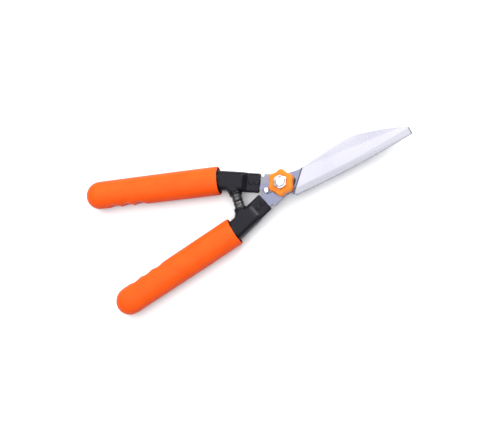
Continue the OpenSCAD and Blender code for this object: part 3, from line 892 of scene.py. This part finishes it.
def makeLockScrew(name):
    head, height, width = screw["head"], screw["headHeight"], screw["headWidth"]
    piece = turnedPiece(name, [(screw["foot"], screw["shank"]), (head, screw["shank"]),
                               (head, width - 0.3 * mm), (head + 0.2 * mm, width),
                               (head + height * 0.5, width),
                               (head + height * 0.78, width * 0.93),
                               (head + height * 0.93, width * 0.8),
                               (head + height, width * 0.6)])
    standUp(piece, screw["along"])
    slot = cube("slot", (screw["slotWidth"], 2 * width, 2 * screw["slotDepth"]),
                (0, 0, head + height))
    setDown(slot, Matrix.Translation((screw["along"], 0, 0))
            @ Matrix.Rotation(math.radians(screw["slotTurn"]), 4, "Z"))
    combine(piece, slot, "DIFFERENCE")
    shadeSmooth(piece, screw["smoothAngle"])
    return piece


def makeBolt(name):
    neck, neckHeight = bolt["neck"], bolt["neckHeight"]
    piece = turnedPiece(name, bolt["profile"], 64)
    standUp(piece)
    square = cube("neck", (neck, neck, neckHeight), (0, 0, bolt["headHeight"] + neckHeight / 2))
    combine(piece, square, "UNION")
    shadeSmooth(piece, screw["smoothAngle"])
    return piece


lockScrew = makeLockScrew("lock_screw_pan")
pivotBolt = makeBolt("pivot_bolt_turned")
finishPiece(lockScrew, "lower_side", "screw_steel", screwSteel, "lock_screw")
finishPiece(pivotBolt, "upper_side", "bolt_steel", boltSteel, "pivot_bolt")
print("stage: screws")


# Tang rivets

# each step of a head is a share of its height and the width there
rivets = {"places": (38 * mm, 46 * mm), "width": 4 * mm, "headWidth": 7 * mm,
          "headHeight": 1 * mm, "grip": 7.7 * mm,
          "dome": ((1, 2.5 * mm), (0.9, 4.4 * mm), (0.6, 6 * mm), (0.2, 6.9 * mm))}


def makeRivets(name, tangLevel):
    half, head = rivets["grip"] / 2, rivets["headHeight"]
    side = [(half + head * share, width) for share, width in rivets["dome"]]
    side += [(half, rivets["headWidth"]), (half, rivets["width"])]
    profile = [(tangLevel - place, width) for place, width in side]
    profile += [(tangLevel + place, width) for place, width in reversed(side)]
    piece = turnedPiece(name, profile, 32)
    first, second = rivets["places"]
    standUp(piece, first)
    choose(piece)
    bpy.ops.object.duplicate()
    setDown(bpy.context.object, Matrix.Translation((second - first, 0, 0)))
    piece.select_set(True)
    bpy.context.view_layer.objects.active = piece
    bpy.ops.object.join()
    setDown(piece, armPlace)
    shadeSmooth(piece)
    return piece


upperRivets = makeRivets("upper_rivet_pair", levels["rearTang"])
lowerRivets = swapSides(makeRivets("mirrored", levels["frontTang"]), "lower_rivet_pair")
finishPiece(upperRivets, "upper_side", "rivet_paint", rivetPaint, "upper_tang_rivets")
finishPiece(lowerRivets, "lower_side", "rivet_paint", rivetPaint, "lower_tang_rivets")
print("stage: rivets")


# Blades and washers keep the frame's shape, with their edges broken

bladeEdge = 0.12 * mm
for node, name, edge, body, slot, material in (
        ("front_blade", "front_blade_ground", bladeEdge, "lower_side", "blade_steel", frontSteel),
        ("rear_blade", "rear_blade_ground", bladeEdge, "upper_side", "blade_steel", rearSteel),
        ("tab_washer", "tab_washer_pressed", 0.2 * mm, "lower_side", "washer_steel", washerSteel),
        ("spring_washer", "spring_washer_dished", 0.1 * mm, "knob", "spring_steel", springSteel)):
    finishPiece(softCopy(node, name, edge), body, slot, material, node)

# the plugs inside the grips and the screws sunk in the bumpers stay as the frame has them
for node, material in (("upper_end_plug", plugPlastic), ("lower_end_plug", plugPlastic),
                       ("upper_bumper_screw", screwSteel), ("lower_bumper_screw", screwSteel)):
    nodes[node].data.materials.clear()
    nodes[node].data.materials.append(material)
print("stage: blades")


# Floor, light and camera

clearSelection()
bpy.ops.mesh.primitive_plane_add(size=6, location=(0, 0, cadBox[0].z - 0.1 * mm))
floor = bpy.context.object
floor.name = "floor"
floorMaterial, floorShader = startMaterial("pale floor", 0, 0.6)
floorShader.inputs["Base Color"].default_value = (0.9, 0.9, 0.9, 1)
floor.data.materials.append(floorMaterial)

scene = bpy.context.scene
scene.view_settings.view_transform = "Standard"
world = bpy.data.worlds.new("studio")
world.use_nodes = True
background = world.node_tree.nodes["Background"]
background.inputs["Color"].default_value = (0.93, 0.95, 1.0, 1)
background.inputs["Strength"].default_value = 0.5
scene.world = world


def addSoftbox(name, place, target, size, power):
    bpy.ops.object.light_add(type="AREA", location=place)
    light = bpy.context.object
    light.name = name
    light.data.shape = "SQUARE"
    light.data.size = size
    light.data.energy = power
    light.rotation_euler = (Vector(target) - Vector(place)).to_track_quat("-Z", "Y").to_euler()


addSoftbox("top softbox", (0, 0.1, 2.2), (0, 0, 0), 3.6, 88)
addSoftbox("key softbox", (-0.7, 1.7, 1.3), (-0.05, 0, 0), 1.0, 10)
addSoftbox("rim softbox", (0.98, 0.95, 0.83), (-0.05, -0.02, 0), 0.6, 24)

view = {"lean": 13.96, "drop": 10.18, "roll": 20.42, "distance": 1.6,
        "aim": (-60.1 * mm, -33.1 * mm, levels["middle"]), "lens": 85.3}
roll = Matrix.Rotation(math.radians(-view["roll"]), 3, "Z")
leanShare = math.sin(math.radians(view["lean"]))
dropShare = -math.sin(math.radians(view["drop"]))
toCamera = Vector((leanShare, dropShare, math.sqrt(1 - leanShare ** 2 - dropShare ** 2)))
cameraRight = roll @ (Vector((1, 0, 0)) - toCamera.x * toCamera).normalized()
eye = Vector((0, 0, levels["middle"])) + view["distance"] * (roll @ toCamera)
backward = (eye - Vector(view["aim"])).normalized()
right = (cameraRight - cameraRight.dot(backward) * backward).normalized()
up = backward.cross(right)
bpy.ops.object.camera_add()
camera = bpy.context.object
facing = Matrix((right, up, backward)).transposed().to_4x4()
camera.matrix_world = Matrix.Translation(eye) @ facing
camera.data.lens = view["lens"]
scene.camera = camera
clearSelection()
print("stage: camera")
